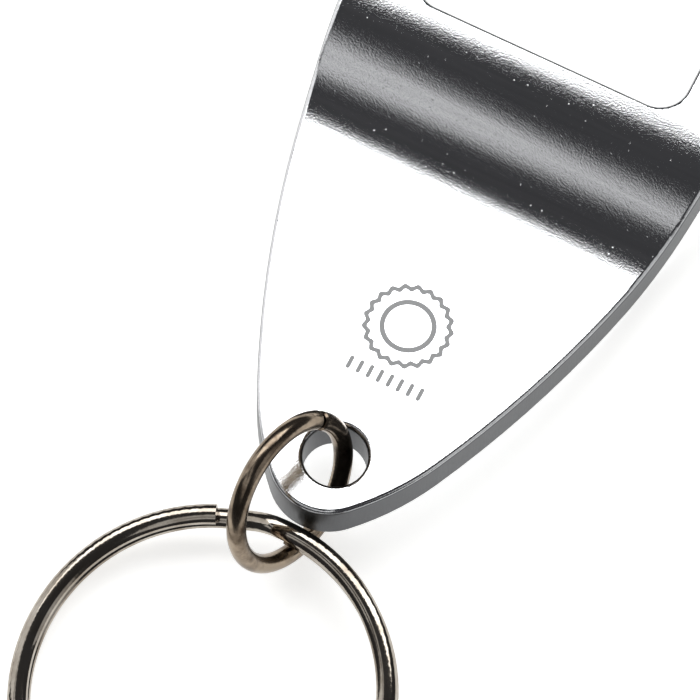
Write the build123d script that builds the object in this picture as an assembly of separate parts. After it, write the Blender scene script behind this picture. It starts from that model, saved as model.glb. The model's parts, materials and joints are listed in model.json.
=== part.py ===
from build123d import *
from math import asin, atan2, cos, degrees, hypot, radians, sin
import os

# Keychain bottle opener, in millimetres, lying on a table at Z = 0.
#
# Three pieces: a pressed aluminium plate, a closed wire jump ring through the
# hole in the plate's tip, and a two-turn split ring hung in the jump ring.
#
# Each piece is drawn in the plate's own frame first: origin at the middle of
# the hole on the top face, +X across the plate, +Y along it towards the head,
# +Z out of the top face. The pieces are then laid on the table together.

# --- Plate: outline, seen from above -----------------------------------------
plate_thickness = 3.5
outline_axis_x = -0.3  # the hole is drilled this much to the right of the middle
tip_y = -4.2  # front end of the plate, measured from the hole
tip_radius = 3.95
neck_radius = 19.7
flank_radius = 80.0
tip_turn = 45.7  # degrees turned by the tip arc on each side
neck_turn = 19.0  # degrees turned by the neck arc
flank_turn = 25.3  # the rest of the quarter turn
head_straight = 1.5  # parallel stretch between the flanks and the head
edge_rounding = 0.3

# --- Plate: hole and cap mouth -----------------------------------------------
hole_radius = 2.1
mouth_near_y = 30.45  # straight lip that hooks under the cap
mouth_half_width = 9.7  # also the radius of the far end
mouth_corner_radius = 2.0
head_bar = 5.3  # width of the bar beyond the mouth

# --- Plate: the double bend that lifts the head ------------------------------
bend_start_y = 18.83
bend_radius = 13.4  # of both bends, on their inner side
bend_angle = 25.0  # degrees, at the steepest line

# --- Jump ring ----------------------------------------------------------------
jump_wire_radius = 0.64
jump_ring_radius = 5.05  # to the middle of the wire
jump_seam_gap = 2.0  # degrees left open where the wire's ends meet
jump_seam_step = 0.12  # sideways offset of one end past the other
jump_seam_angle = 36.0  # place of the seam, seen along the ring's axis
jump_end_chamfer = 0.12
jump_centre = (-1.39, -3.67, 0.17)
jump_axis_yaw = -11.4  # degrees from +X, towards +Y
jump_axis_rise = 19.6  # degrees up from level

# --- Split ring ----------------------------------------------------------------
split_ring_radius = 11.88  # to the middle of the oval wire
split_wire_width = 1.34
split_wire_height = 0.85
split_turn_gap = 0.03  # daylight between the two turns
split_crank_angle = 15.0  # degrees over which the wire climbs one turn
split_end_gap = 3.9  # degrees between each end and the crank
split_crank_steps = 6
split_crank_azimuth = 100.9  # middle of the crank
split_centre = (-0.85, -17.30)
split_tilt = 6.25  # degrees, one side rests on the jump ring
split_tilt_azimuth = 35.0  # direction of the raised side

# --- Derived sizes -------------------------------------------------------------
outer_bend_radius = bend_radius + plate_thickness
both_bends = bend_radius + outer_bend_radius
bend_end_y = bend_start_y + both_bends * sin(radians(bend_angle))
head_rise = both_bends * (1 - cos(radians(bend_angle)))


def outline_end():
    """Return the half width and the Y where the curved flank becomes parallel."""
    x, y, heading = 0.0, tip_y, 90.0
    arcs = (
        (tip_radius, tip_turn),
        (neck_radius, neck_turn),
        (flank_radius, flank_turn),
    )
    for radius, turn in arcs:
        after = heading - turn
        x += radius * (cos(radians(after)) - cos(radians(heading)))
        y += radius * (sin(radians(heading)) - sin(radians(after)))
        heading = after
    return x, y


half_width, flank_end_y = outline_end()
head_centre_y = flank_end_y + head_straight
head_end_y = head_centre_y + half_width
mouth_far_y = head_end_y - head_bar - mouth_half_width  # middle of the half-round far end


def resting_tilt():
    """Return the tilt in degrees and the height of the plate's frame on the table.

    The plate stands on the heel of its first bend and on the bottom edge of
    its head. The table is the common tangent under those two round edges.
    """
    heel_y, heel_z = bend_start_y, bend_radius
    end_y = head_end_y - edge_rounding
    end_z = head_rise - plate_thickness + edge_rounding
    along = end_y - heel_y
    up = end_z - heel_z
    slope = atan2(up, along)
    slope += asin((outer_bend_radius - edge_rounding) / hypot(along, up))
    height = outer_bend_radius + heel_y * sin(slope) - heel_z * cos(slope)
    return degrees(slope), height


plate_tilt, plate_height = resting_tilt()


def outline_face():
    """Draw the plate's outline: tip, neck, flanks and a half-round head."""
    start = (outline_axis_x, tip_y)
    tip = JernArc(start, (1, 0), tip_radius, tip_turn)
    neck = JernArc(tip @ 1, tip % 1, neck_radius, neck_turn)
    flank = JernArc(neck @ 1, neck % 1, flank_radius, flank_turn)
    side = Line(flank @ 1, (flank @ 1) + (0, head_straight))
    head = JernArc(side @ 1, (0, 1), half_width, 90)
    right = Wire([tip, neck, flank, side, head])
    left = right.mirror(Plane.YZ.offset(outline_axis_x))
    return Face(Wire([*right.edges(), *left.edges()]))


def profile_face():
    """Draw the plate seen from its right side: tongue, double bend, head."""
    front = tip_y - 2
    back = head_end_y + 2
    first = (bend_start_y, bend_radius)
    second = (bend_end_y, head_rise - outer_bend_radius)
    with BuildSketch(Plane.YZ) as profile:
        with BuildLine():
            CenterArc(first, bend_radius, -90, bend_angle)
            CenterArc(second, outer_bend_radius, 90, bend_angle)
            CenterArc(first, outer_bend_radius, -90, bend_angle)
            CenterArc(second, bend_radius, 90, bend_angle)
            Line((front, 0), (first[0], 0))
            Line((second[0], head_rise), (back, head_rise))
            Line((front, 0), (front, -plate_thickness))
            Line((front, -plate_thickness), (first[0], -plate_thickness))
            Line((second[0], head_rise - plate_thickness), (back, head_rise - plate_thickness))
            Line((back, head_rise), (back, head_rise - plate_thickness))
        make_face()
    return profile.sketch.face()


def mouth_face():
    """Draw the cap mouth: a straight lip, rounded corners and a half-round far end."""
    left = outline_axis_x - mouth_half_width
    right = outline_axis_x + mouth_half_width
    with BuildSketch() as mouth:
        with BuildLine():
            lip = Line((left, mouth_near_y), (right, mouth_near_y))
            side = Line(lip @ 1, (right, mouth_far_y))
            far = CenterArc((outline_axis_x, mouth_far_y), mouth_half_width, 0, 180)
            Line(far @ 1, lip @ 0)
        make_face()
        fillet(mouth.vertices().sort_by(Axis.Y)[:2], mouth_corner_radius)
    return mouth.sketch.face()


def is_rim(edge):
    """Tell whether an edge runs round the plate, and not through its thickness."""
    return abs(edge.tangent_at(0.5).Z) < 0.9


def make_opener_plate():
    """Cut the outline from the bent strip, open the mouth and hole, round the edges."""
    reach = 2 * half_width
    strip = extrude(profile_face(), reach, both=True)
    blank = extrude(outline_face(), reach, both=True)
    mouth = extrude(mouth_face(), reach, both=True)
    hole = Cylinder(hole_radius, 2 * reach)
    plate = (strip & blank) - mouth - hole
    walls = [face for face in plate.faces() if abs(face.normal_at().Z) < 0.01]
    rims = ShapeList(edge for wall in walls for edge in wall.edges() if is_rim(edge))
    return fillet(rims, edge_rounding)


def ring_plane(centre, yaw, rise):
    """Return a plane at centre whose normal has this yaw and rise, its X level."""
    flat = cos(radians(rise))
    normal = (flat * cos(radians(yaw)), flat * sin(radians(yaw)), sin(radians(rise)))
    level = (-sin(radians(yaw)), cos(radians(yaw)), 0)
    return Plane(origin=centre, x_dir=level, z_dir=normal)


def make_jump_ring():
    """Bend round wire into one turn whose ends meet with a small sideways step."""
    sweep_angle = 360 - jump_seam_gap
    path = Helix(
        pitch=jump_seam_step * 360 / sweep_angle,
        height=jump_seam_step,
        radius=jump_ring_radius,
        center=(0, 0, -jump_seam_step / 2),
    )
    section = Plane(origin=path @ 0, z_dir=path % 0) * Circle(jump_wire_radius)
    wire = sweep(section, path=path, is_frenet=True)
    ends = wire.faces().filter_by(GeomType.PLANE)
    wire = chamfer(ends.edges(), jump_end_chamfer)
    seam = Rot(0, 0, jump_seam_angle + jump_seam_gap / 2)
    plane = ring_plane(jump_centre, jump_axis_yaw, jump_axis_rise)
    return plane.location * seam * wire


def split_section(angle, height):
    """Return the wire's oval section at this angle round the ring, at this height."""
    place = Rot(0, 0, angle) * Pos(split_ring_radius, 0, height)
    face = Ellipse(split_wire_width / 2, split_wire_height / 2)
    return place * (Rot(90, 0, 0) * face)


def split_turn(start, sweep_angle, height):
    """Return one level turn of oval wire."""
    return revolve(split_section(start, height), Axis.Z, sweep_angle)


def make_split_ring():
    """Wind oval wire twice round, with a crank where it climbs onto itself."""
    climb = split_wire_height + split_turn_gap
    low = -climb / 2
    crank_start = -split_crank_angle / 2
    crank_end = split_crank_angle / 2
    stations = []
    for step in range(split_crank_steps + 1):
        share = step / split_crank_steps
        rise = (1 - cos(radians(180 * share))) / 2
        angle = crank_end - split_crank_angle * share
        stations.append(split_section(angle, low + climb * rise))
    crank = loft(stations)
    level_turn = 360 - split_crank_angle - split_end_gap
    lower = split_turn(crank_end, level_turn, low)
    upper = split_turn(crank_start - level_turn, level_turn, -low)
    ring = lower + crank + upper
    return Rot(0, 0, split_crank_azimuth) * ring


def lay_split_ring(ring):
    """Set the split ring on the table, one side raised onto the jump ring."""
    lean = radians(split_tilt)
    to_lower_turn = (split_wire_height + split_turn_gap) / 2 * cos(lean)
    to_wire_bottom = hypot(split_wire_width / 2 * sin(lean), split_wire_height / 2 * cos(lean))
    height = split_ring_radius * sin(lean) + to_lower_turn + to_wire_bottom
    spin = Rot(0, 0, split_tilt_azimuth)
    tilt = spin * Rot(0, -split_tilt, 0) * spin.inverse()
    return Pos(split_centre[0], split_centre[1], height) * tilt * ring


def main():
    # The plate and jump ring share the plate's tilt. The split ring lies freely.
    laid = Pos(0, 0, plate_height) * Rot(-plate_tilt, 0, 0)
    pieces = {
        "opener_plate": laid * make_opener_plate(),
        "jump_ring": laid * make_jump_ring(),
        "split_ring": lay_split_ring(make_split_ring()),
    }
    box = Compound(list(pieces.values())).bounding_box()
    centre = box.center()
    to_origin = Pos(-centre.X, -centre.Y, -box.min.Z)
    os.makedirs("parts", exist_ok=True)
    for name, piece in pieces.items():
        export_step(to_origin * piece, f"parts/{name}.step")
    print("size", box.size, "origin moved by", to_origin.position)


main()
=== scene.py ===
import json
from math import cos, pi, radians, sin

import bmesh
import bpy
from bpy.props import FloatProperty, FloatVectorProperty, IntProperty, PointerProperty
from mathutils import Matrix, Vector


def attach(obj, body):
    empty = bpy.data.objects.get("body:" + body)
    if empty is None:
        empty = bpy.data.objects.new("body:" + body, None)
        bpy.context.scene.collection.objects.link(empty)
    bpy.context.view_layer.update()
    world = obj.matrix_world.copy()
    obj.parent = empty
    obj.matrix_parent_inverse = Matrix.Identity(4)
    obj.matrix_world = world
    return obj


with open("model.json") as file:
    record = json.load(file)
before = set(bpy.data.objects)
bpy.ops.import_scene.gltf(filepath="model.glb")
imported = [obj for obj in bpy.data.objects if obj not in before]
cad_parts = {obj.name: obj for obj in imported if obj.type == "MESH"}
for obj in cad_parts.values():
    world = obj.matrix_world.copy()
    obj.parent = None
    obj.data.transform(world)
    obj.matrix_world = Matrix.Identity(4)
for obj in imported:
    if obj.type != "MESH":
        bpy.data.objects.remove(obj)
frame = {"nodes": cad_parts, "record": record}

bl_info = {
    "name": "Keychain Bottle Opener",
    "version": (1, 0, 0),
    "blender": (4, 5, 0),
    "location": "View3D > Sidebar > Opener",
    "description": "Finishes a pressed aluminium bottle opener with its jump ring and split ring",
    "category": "Object",
}

MM = 0.001
MOUNTS = {mount["name"]: mount for mount in frame["record"]["mounts"]}

# The flat tongue, from the frame: its directions, and the middle of its hole.
HOLE_TO_MOUNT = 10 * MM
TONGUE_UP = Vector(MOUNTS["tongue_face"]["axis"])
TONGUE_ACROSS = Vector((1, 0, 0))
TONGUE_ALONG = TONGUE_UP.cross(TONGUE_ACROSS)
HOLE = Vector(MOUNTS["tongue_face"]["pos_m"]) - TONGUE_ALONG * HOLE_TO_MOUNT
TONGUE_TURN = Matrix((TONGUE_ACROSS, TONGUE_ALONG, TONGUE_UP)).transposed().to_4x4()


def on_tongue(x, y, z=0.0):
    """Return the place x, y, z millimetres from the hole, in the tongue's directions."""
    return HOLE + (TONGUE_ACROSS * x + TONGUE_ALONG * y + TONGUE_UP * z) * MM


def linear(code):
    """Turn an sRGB hex colour into the linear RGBA that Blender's sockets take."""
    parts = [int(code[i:i + 2], 16) / 255 for i in (1, 3, 5)]
    bent = [c / 12.92 if c <= 0.04045 else ((c + 0.055) / 1.055) ** 2.4 for c in parts]
    return (*bent, 1.0)


def colour(label, description, code):
    """Describe a colour that a user may change."""
    return FloatVectorProperty(
        name=label, description=description, subtype="COLOR", size=4, min=0, max=1, default=linear(code)
    )


def length(label, description, millimetres):
    """Describe a length that a user may change, given in millimetres."""
    return FloatProperty(
        name=label, description=description, unit="LENGTH", precision=5, min=0, default=millimetres * MM
    )


def share(label, description, value):
    """Describe a number from 0 to 1 that a user may change."""
    return FloatProperty(name=label, description=description, min=0, max=1, default=value)


class OpenerPlateSettings(bpy.types.PropertyGroup):
    face: colour("Face", "Bright tumbled aluminium of the flat faces", "#E6E7E9")
    streak_shade: colour("Streak shade", "Darker streaks that rolling leaves in the faces", "#DCDDDF")
    # The edge colour is partly the sheared metal's own grey and partly painted shade, darkened to stand
    # in for the dim floor that the sideways walls reflect.
    edge: colour("Edge", "Sheared edge of the sheet, greyer than its faces", "#4E5053")
    grain: length("Grain", "Size of the dimples that tumbling leaves", 0.13)
    pit: length("Pit", "Spacing of the small pits in the face", 0.6)
    drag: length("Drag line", "Spacing of the fine lines across the plate", 0.09)
    streak: length("Streak", "Spacing of the soft streaks across the plate", 0.5)
    shear: length("Shear line", "Spacing of the lines down the sheared edge", 0.12)


class OpenerJumpWireSettings(bpy.types.PropertyGroup):
    # Both jump-ring colours are darker than plated nickel: partly random browning, partly painted shade
    # standing in for the dark room the ring reflects.
    clean: colour("Nickel", "Nickel plating where it is clean", "#9A8C7B")
    dull: colour("Dulled nickel", "Nickel plating where it has browned", "#4A3C30")
    patch: length("Patch", "Size of the browned patches", 2.2)
    ripple: length("Ripple", "Size of the ripples that plating leaves", 0.8)
    roughness: share("Roughness", "Roughness of clean plating", 0.17)


class OpenerSplitWireSettings(bpy.types.PropertyGroup):
    clean: colour("Nickel", "Nickel plating where it is clean", "#B5AEA4")
    dull: colour("Dulled nickel", "Nickel plating where it has browned", "#8E8478")
    patch: length("Patch", "Size of the browned patches", 3.0)
    ripple: length("Ripple", "Size of the ripples that plating leaves", 1.2)
    roughness: share("Roughness", "Roughness of clean plating", 0.07)


class OpenerMarkSettings(bpy.types.PropertyGroup):
    ink: colour("Etch", "Laser-etched aluminium, matt grey", "#9C9D9E")
    ring: length("Ring", "Radius of the cap sign, to the middle of its line", 2.73)
    line: length("Line", "Width of the etched lines", 0.34)
    flute: length("Flute", "Depth of the cap sign's flutes, from the middle of its line", 0.11)
    inner: share("Inner circle", "Size of the inner circle beside the ring", 0.62)
    flutes: IntProperty(name="Flutes", description="Flutes round the cap sign", min=3, default=21)
    bars: IntProperty(name="Bars", description="Short bars in the row below it", min=1, default=8)
    bar_pitch: length("Bar pitch", "Distance from bar to bar", 0.72)
    bar_width: length("Bar width", "Width of each bar", 0.28)
    bar_height: length("Bar height", "Height of each bar", 0.95)
    dots: length("Dots", "Size of the dots that the marking laser leaves", 0.08)


class OpenerStageSettings(bpy.types.PropertyGroup):
    top: colour("Table top", "Pale matt acrylic that the opener lies on", "#E9E9E8")
    tooth: length("Tooth", "Size of the faint tooth of the table top", 0.8)
    glow: share("Glow", "Light that comes up through the table top", 0.85)
    room: colour("Room", "Dim grey of the studio between the lights", "#3D3D3F")


# --- Shader helper -------------------------------------------------------------------
def add(tree, kind, inputs=None, **settings):
    """Add a node with its settings. An input given as a socket is linked, else it is set."""
    new = tree.nodes.new(kind)
    for name, value in settings.items():
        setattr(new, name, value)
    for name, value in (inputs or {}).items():
        socket = new.inputs[name]
        if isinstance(value, bpy.types.NodeSocket):
            tree.links.new(value, socket)
        else:
            socket.default_value = value
    return new


def new_material(name):
    """Return an empty node material and its tree."""
    material = bpy.data.materials.new(name)
    material.use_nodes = True
    material.node_tree.nodes.clear()
    return material, material.node_tree


def close_material(tree, shader):
    """Link a shader to the material's output."""
    add(tree, "ShaderNodeOutputMaterial", {"Surface": shader.outputs[0]})


def per_metre(size):
    """Return a pattern's scale for a feature of this size in metres."""
    return 1 / size


# --- Materials -----------------------------------------------------------------------
def tumbled_aluminium_with_painted_edge_shade(look):
    """Pressed aluminium sheet, tumbled bright, with a greyer sheared edge whose colour is darkened
    further as painted shade.
    """
    material, tree = new_material("tumbled_aluminium_with_painted_edge_shade")
    place = add(tree, "ShaderNodeTexCoord")
    # The sheet's faces point up or down, and its sheared edge points sideways.
    facing = add(tree, "ShaderNodeSeparateXYZ", {"Vector": place.outputs["Normal"]})
    upright = add(tree, "ShaderNodeMath", {0: facing.outputs["Z"]}, operation="ABSOLUTE")
    face = add(tree, "ShaderNodeMapRange", {
        "Value": upright.outputs[0],
        "From Min": 0.35,
        "From Max": 0.75,
    })
    # Tumbling leaves shallow dimples that break up every reflection's border.
    grain = add(tree, "ShaderNodeTexNoise", {
        "Vector": place.outputs["Object"],
        "Scale": per_metre(look.grain),
        "Detail": 3.0,
        "Roughness": 0.65,
    })
    # Rolling and wiping leave lines across the plate, seen as streaks in the bend.
    stretched = add(tree, "ShaderNodeMapping", {
        "Vector": place.outputs["Object"],
        "Scale": (0.04, 1.0, 1.0),
    })
    drag = add(tree, "ShaderNodeTexNoise", {
        "Vector": stretched.outputs[0],
        "Scale": per_metre(look.drag),
        "Detail": 2.0,
    })
    # Broader rolling streaks are slightly darker, and show in the bend's grey band.
    streaks = add(tree, "ShaderNodeTexNoise", {
        "Vector": stretched.outputs[0],
        "Scale": per_metre(look.streak),
        "Detail": 2.0,
    })
    streaked = add(tree, "ShaderNodeMapRange", {
        "Value": streaks.outputs[0],
        "From Min": 0.35,
        "From Max": 0.65,
    })
    finish = add(tree, "ShaderNodeMix", {
        "Factor": streaked.outputs[0],
        6: look.streak_shade,
        7: look.face,
    }, data_type="RGBA")
    # Scattered pits sparkle white in the dark reflections.
    pits = add(tree, "ShaderNodeTexVoronoi", {
        "Vector": place.outputs["Object"],
        "Scale": per_metre(look.pit),
    })
    pit = add(tree, "ShaderNodeMapRange", {
        "Value": pits.outputs["Distance"],
        "From Min": 0.05,
        "From Max": 0.11,
    })
    # The punch drags lines down the edge, through the sheet's thickness.
    down = add(tree, "ShaderNodeMapping", {
        "Vector": place.outputs["Object"],
        "Scale": (1.0, 1.0, 0.05),
    })
    shear = add(tree, "ShaderNodeTexNoise", {
        "Vector": down.outputs[0],
        "Scale": per_metre(look.shear),
        "Detail": 2.0,
    })
    height = add(tree, "ShaderNodeMath", {0: grain.outputs[0], 1: 0.8}, operation="MULTIPLY")
    for pattern, amount in ((drag, 0.10), (pit, 0.5)):
        height = add(tree, "ShaderNodeMath", {
            0: pattern.outputs[0],
            1: amount,
            2: height.outputs[0],
        }, operation="MULTIPLY_ADD")
    relief = add(tree, "ShaderNodeMix", {
        "Factor": face.outputs[0],
        2: shear.outputs[0],
        3: height.outputs[0],
    })
    bump = add(tree, "ShaderNodeBump", {
        "Height": relief.outputs[0],
        "Distance": 0.010 * MM,
        "Strength": 1.0,
    })
    # Sideways walls get the dark edge colour: partly the sheared metal's grey, partly painted shade for
    # the dim floor they reflect.
    colours = add(tree, "ShaderNodeMix", {
        "Factor": face.outputs[0],
        6: look.edge,
        7: finish.outputs[2],
    }, data_type="RGBA")
    rough = add(tree, "ShaderNodeMapRange", {
        "Value": face.outputs[0],
        "To Min": 0.34,
        "To Max": 0.05,
    })
    rough = add(tree, "ShaderNodeMath", {
        0: grain.outputs[0],
        1: 0.08,
        2: rough.outputs[0],
    }, operation="MULTIPLY_ADD")
    shader = add(tree, "ShaderNodeBsdfPrincipled", {
        "Base Color": colours.outputs[2],
        "Metallic": 1.0,
        "Roughness": rough.outputs[0],
        "Normal": bump.outputs[0],
    })
    close_material(tree, shader)
    return material


def plated_wire(name, look):
    """Nickel-plated steel wire: warm mirror reflections, browned in soft patches."""
    material, tree = new_material(name)
    place = add(tree, "ShaderNodeTexCoord")
    patch = add(tree, "ShaderNodeTexNoise", {
        "Vector": place.outputs["Object"],
        "Scale": per_metre(look.patch),
        "Detail": 4.0,
        "Roughness": 0.6,
    })
    worn = add(tree, "ShaderNodeMapRange", {
        "Value": patch.outputs[0],
        "From Min": 0.40,
        "From Max": 0.66,
    })
    ripple = add(tree, "ShaderNodeTexNoise", {
        "Vector": place.outputs["Object"],
        "Scale": per_metre(look.ripple),
        "Detail": 2.0,
    })
    # For the jump ring both colours are also darkened as painted shade, beyond what the browning alone
    # gives.
    colours = add(tree, "ShaderNodeMix", {
        "Factor": worn.outputs[0],
        6: look.clean,
        7: look.dull,
    }, data_type="RGBA")
    rough = add(tree, "ShaderNodeMapRange", {
        "Value": worn.outputs[0],
        "To Min": look.roughness,
        "To Max": look.roughness + 0.08,
    })
    bump = add(tree, "ShaderNodeBump", {
        "Height": ripple.outputs[0],
        "Distance": 0.004 * MM,
        "Strength": 1.0,
    })
    shader = add(tree, "ShaderNodeBsdfPrincipled", {
        "Base Color": colours.outputs[2],
        "Metallic": 1.0,
        "Roughness": rough.outputs[0],
        "Normal": bump.outputs[0],
    })
    close_material(tree, shader)
    return material


def etched_aluminium(look):
    """Aluminium roughened by a marking laser: matt grey lines."""
    material, tree = new_material("etched_aluminium")
    place = add(tree, "ShaderNodeTexCoord")
    dots = add(tree, "ShaderNodeTexNoise", {
        "Vector": place.outputs["Object"],
        "Scale": per_metre(look.dots),
        "Detail": 2.0,
    })
    bump = add(tree, "ShaderNodeBump", {
        "Height": dots.outputs[0],
        "Distance": 0.01 * MM,
        "Strength": 1.0,
    })
    shader = add(tree, "ShaderNodeBsdfPrincipled", {
        "Base Color": look.ink,
        "Metallic": 0.6,
        "Roughness": 0.55,
        "Normal": bump.outputs[0],
    })
    close_material(tree, shader)
    return material


def opal_acrylic(look):
    """Opal acrylic of a light table: matt and pale, lit from below, so that shadows stay faint."""
    material, tree = new_material("opal_acrylic")
    place = add(tree, "ShaderNodeTexCoord")
    tooth = add(tree, "ShaderNodeTexNoise", {
        "Vector": place.outputs["Object"],
        "Scale": per_metre(look.tooth),
        "Detail": 3.0,
    })
    bump = add(tree, "ShaderNodeBump", {
        "Height": tooth.outputs[0],
        "Distance": 0.02 * MM,
        "Strength": 0.3,
    })
    shader = add(tree, "ShaderNodeBsdfPrincipled", {
        "Base Color": look.top,
        "Roughness": 0.8,
        "Emission Color": look.top,
        "Emission Strength": look.glow,
        "Normal": bump.outputs[0],
    })
    close_material(tree, shader)
    return material


def dress(node, material):
    """Give a CAD piece its material."""
    piece = frame["nodes"][node]
    piece.data.materials.clear()
    piece.data.materials.append(material)
    return piece


# --- The etched mark -----------------------------------------------------------------
MARK_CENTRE = (0.14, 10.15)  # millimetres from the hole
BAR_ROW_CENTRE = (0.3 * MM, -3.95 * MM)  # from the middle of the cap sign
MARK_THICKNESS = 0.012 * MM  # to each side of the face, so that the sign shows as a thin film


def strip(mesh, inner, outer, thickness):
    """Add a closed flat band between two outlines that have the same number of points."""
    levels = []
    for height in (-thickness, thickness):
        levels.append([[mesh.verts.new((x, y, height)) for x, y in line] for line in (inner, outer)])
    count = len(inner)
    for i in range(count):
        j = (i + 1) % count
        low, high = levels
        mesh.faces.new((low[0][i], low[0][j], low[1][j], low[1][i]))
        mesh.faces.new((high[0][i], high[1][i], high[1][j], high[0][j]))
        mesh.faces.new((low[0][j], low[0][i], high[0][i], high[0][j]))
        mesh.faces.new((low[1][i], low[1][j], high[1][j], high[1][i]))


def bar(mesh, centre, width, height, thickness):
    """Add a thin bar with rounded ends standing along Y."""
    radius = width / 2
    straight = height / 2 - radius
    steps = 8
    points = []
    for side in (1, -1):
        for step in range(steps + 1):
            angle = pi * step / steps
            points.append((side * radius * cos(angle), side * (straight + radius * sin(angle))))
    rings = []
    for level in (-thickness, thickness):
        rings.append([mesh.verts.new((centre[0] + x, centre[1] + y, level)) for x, y in points])
    low, high = rings
    mesh.faces.new(reversed(low))
    mesh.faces.new(high)
    for i in range(len(points)):
        j = (i + 1) % len(points)
        mesh.faces.new((low[i], low[j], high[j], high[i]))


def cap_outline(radius, flutes, depth, steps=8):
    """Return the fluted outline of a crown cap."""
    count = flutes * steps
    points = []
    for step in range(count):
        angle = 2 * pi * step / count
        reach = radius + depth * cos(flutes * angle)
        points.append((reach * cos(angle), reach * sin(angle)))
    return points


# --- Lights and camera ---------------------------------------------------------------
# Each light's name, its angle from straight above towards the head, its angle
# sideways, its width and height in metres, and its brightness. The dark gap
# between back_softbox and front_card makes the dark bands in the plate's bends.
LIGHTS = (
    ("back_softbox", 31.5, -12, (1.3, 0.50), 3.4),
    ("front_card", -17, -10, (1.3, 0.155), 0.62),
    ("low_front_card", -34.5, -10, (1.3, 0.24), 0.58),
    ("left_softbox", 5, -62, (0.5, 0.9), 1.0),
    ("right_card", 0, 62, (0.5, 0.9), 0.5),
)
# The camera, in the tongue's directions: its place in millimetres from the hole,
# and the directions of its right side and its top.
CAMERA_PLACE = (48.69, -108.35, 297.24)
CAMERA_RIGHT = Vector((0.89302, 0.44954, 0.02071))
CAMERA_TOP = Vector((-0.42123, 0.81880, 0.39004))
CAMERA_LENS = 257.14  # millimetres, on a sensor 36 mm wide
FLOOR_HALF = 1.5


# --- Operators -----------------------------------------------------------------------
class OPENER_OT_plate(bpy.types.Operator):
    """Finish the pressed plate in tumbled aluminium"""
    bl_idname = "opener.plate"
    bl_label = "Plate"

    def execute(self, context):
        dress("opener_plate", tumbled_aluminium_with_painted_edge_shade(context.scene.opener_plate))
        return {"FINISHED"}


class OPENER_OT_jump_ring(bpy.types.Operator):
    """Finish the jump ring in nickel-plated wire, browned in patches and darkened as painted shade"""
    bl_idname = "opener.jump_ring"
    bl_label = "Jump ring"

    def execute(self, context):
        dress("jump_ring", plated_wire("browned_nickel_wire_with_painted_shade", context.scene.opener_jump_wire))
        return {"FINISHED"}


class OPENER_OT_split_ring(bpy.types.Operator):
    """Finish the split ring in bright nickel-plated oval wire"""
    bl_idname = "opener.split_ring"
    bl_label = "Split ring"

    def execute(self, context):
        dress("split_ring", plated_wire("bright_nickel_wire", context.scene.opener_split_wire))
        return {"FINISHED"}


class OPENER_OT_mark(bpy.types.Operator):
    """Etch a plain crown-cap sign and a row of bars on the tongue"""
    bl_idname = "opener.mark"
    bl_label = "Etched mark"

    def execute(self, context):
        look = context.scene.opener_mark
        mesh = bmesh.new()
        for radius, flute in ((look.ring, look.flute), (look.ring * look.inner, 0)):
            inner = cap_outline(radius - look.line / 2, look.flutes, flute)
            outer = cap_outline(radius + look.line / 2, look.flutes, flute)
            strip(mesh, inner, outer, MARK_THICKNESS)
        row_x, row_y = BAR_ROW_CENTRE
        for i in range(look.bars):
            x = row_x + (i - (look.bars - 1) / 2) * look.bar_pitch
            bar(mesh, (x, row_y), look.bar_width, look.bar_height, MARK_THICKNESS)
        data = bpy.data.meshes.new("etched_mark")
        mesh.normal_update()
        mesh.to_mesh(data)
        mesh.free()
        mark = bpy.data.objects.new("etched_mark", data)
        context.scene.collection.objects.link(mark)
        data.transform(Matrix.Translation(on_tongue(*MARK_CENTRE)) @ TONGUE_TURN)
        data.materials.append(etched_aluminium(look))
        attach(mark, "plate")
        return {"FINISHED"}


def softbox(name, place, size, brightness):
    """Hang a flat white light at a place in metres, aimed at the object, with this brightness."""
    lamp = bpy.data.lights.new(name, "AREA")
    lamp.shape = "RECTANGLE"
    lamp.size, lamp.size_y = size
    lamp.energy = brightness * pi * size[0] * size[1]
    light = bpy.data.objects.new(name, lamp)
    light.location = place
    light.rotation_euler = Vector(place).to_track_quat("Z", "Y").to_euler()
    bpy.context.scene.collection.objects.link(light)


def overhead(angle, sideways, distance=1.0):
    """Return a place at these angles in degrees from straight above, at this distance in metres."""
    tilt = radians(angle)
    side = radians(sideways)
    return Vector((sin(side), sin(tilt) * cos(side), cos(tilt) * cos(side))) * distance


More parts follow.
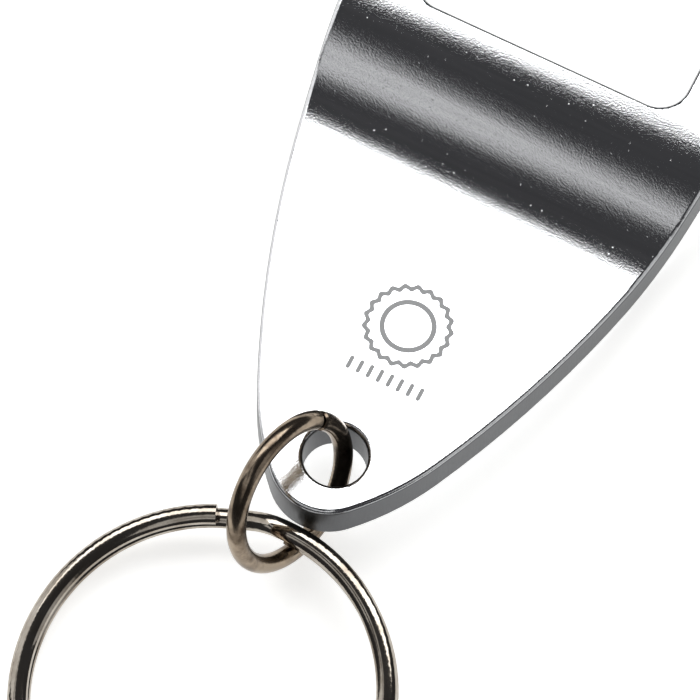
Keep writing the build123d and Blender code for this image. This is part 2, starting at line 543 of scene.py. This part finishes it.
class OPENER_OT_stage(bpy.types.Operator):
    """Lay the pale floor and set the soft lights and the camera"""
    bl_idname = "opener.stage"
    bl_label = "Stage"

    def execute(self, context):
        look = context.scene.opener_stage
        scene = context.scene
        scene.view_settings.view_transform = "Standard"
        mesh = bmesh.new()
        bmesh.ops.create_grid(mesh, x_segments=8, y_segments=8, size=FLOOR_HALF)
        data = bpy.data.meshes.new("floor")
        mesh.to_mesh(data)
        mesh.free()
        floor = bpy.data.objects.new("floor", data)
        scene.collection.objects.link(floor)
        data.materials.append(opal_acrylic(look))
        world = bpy.data.worlds.new("studio")
        world.use_nodes = True
        world.node_tree.nodes["Background"].inputs["Color"].default_value = look.room
        scene.world = world
        for name, angle, sideways, size, brightness in LIGHTS:
            softbox(name, overhead(angle, sideways), size, brightness)
        lens = bpy.data.cameras.new("camera")
        lens.lens = CAMERA_LENS
        lens.sensor_width = 36.0
        lens.clip_start = 0.01
        camera = bpy.data.objects.new("camera", lens)
        scene.collection.objects.link(camera)
        back = CAMERA_RIGHT.cross(CAMERA_TOP)
        turn = Matrix((CAMERA_RIGHT, CAMERA_TOP, back)).transposed().to_4x4()
        camera.matrix_world = Matrix.Translation(on_tongue(*CAMERA_PLACE)) @ TONGUE_TURN @ turn
        scene.camera = camera
        return {"FINISHED"}


class OPENER_PT_sidebar(bpy.types.Panel):
    """Lists the opener's pieces"""
    bl_idname = "OPENER_PT_sidebar"
    bl_label = "Bottle Opener"
    bl_space_type = "VIEW_3D"
    bl_region_type = "UI"
    bl_category = "Opener"

    def draw(self, context):
        for settings in SETTINGS:
            box = self.layout.box()
            group = getattr(context.scene, settings)
            for name in group.bl_rna.properties.keys():
                if name not in ("rna_type", "name"):
                    box.prop(group, name)
        for operator in OPERATORS:
            self.layout.operator(operator.bl_idname)


SETTINGS = {
    "opener_plate": OpenerPlateSettings,
    "opener_jump_wire": OpenerJumpWireSettings,
    "opener_split_wire": OpenerSplitWireSettings,
    "opener_mark": OpenerMarkSettings,
    "opener_stage": OpenerStageSettings,
}
OPERATORS = (
    OPENER_OT_stage,
    OPENER_OT_plate,
    OPENER_OT_mark,
    OPENER_OT_jump_ring,
    OPENER_OT_split_ring,
)


def register():
    for kind in (*SETTINGS.values(), *OPERATORS, OPENER_PT_sidebar):
        bpy.utils.register_class(kind)
    for name, kind in SETTINGS.items():
        setattr(bpy.types.Scene, name, PointerProperty(type=kind))


def unregister():
    for name in SETTINGS:
        delattr(bpy.types.Scene, name)
    for kind in (OPENER_PT_sidebar, *reversed(OPERATORS), *reversed(SETTINGS.values())):
        bpy.utils.unregister_class(kind)


def main():
    """Make the scene."""
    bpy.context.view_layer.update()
    register()
    for operator in OPERATORS:
        group, name = operator.bl_idname.split(".")
        getattr(getattr(bpy.ops, group), name)()


if __name__ == "__main__":
    main()
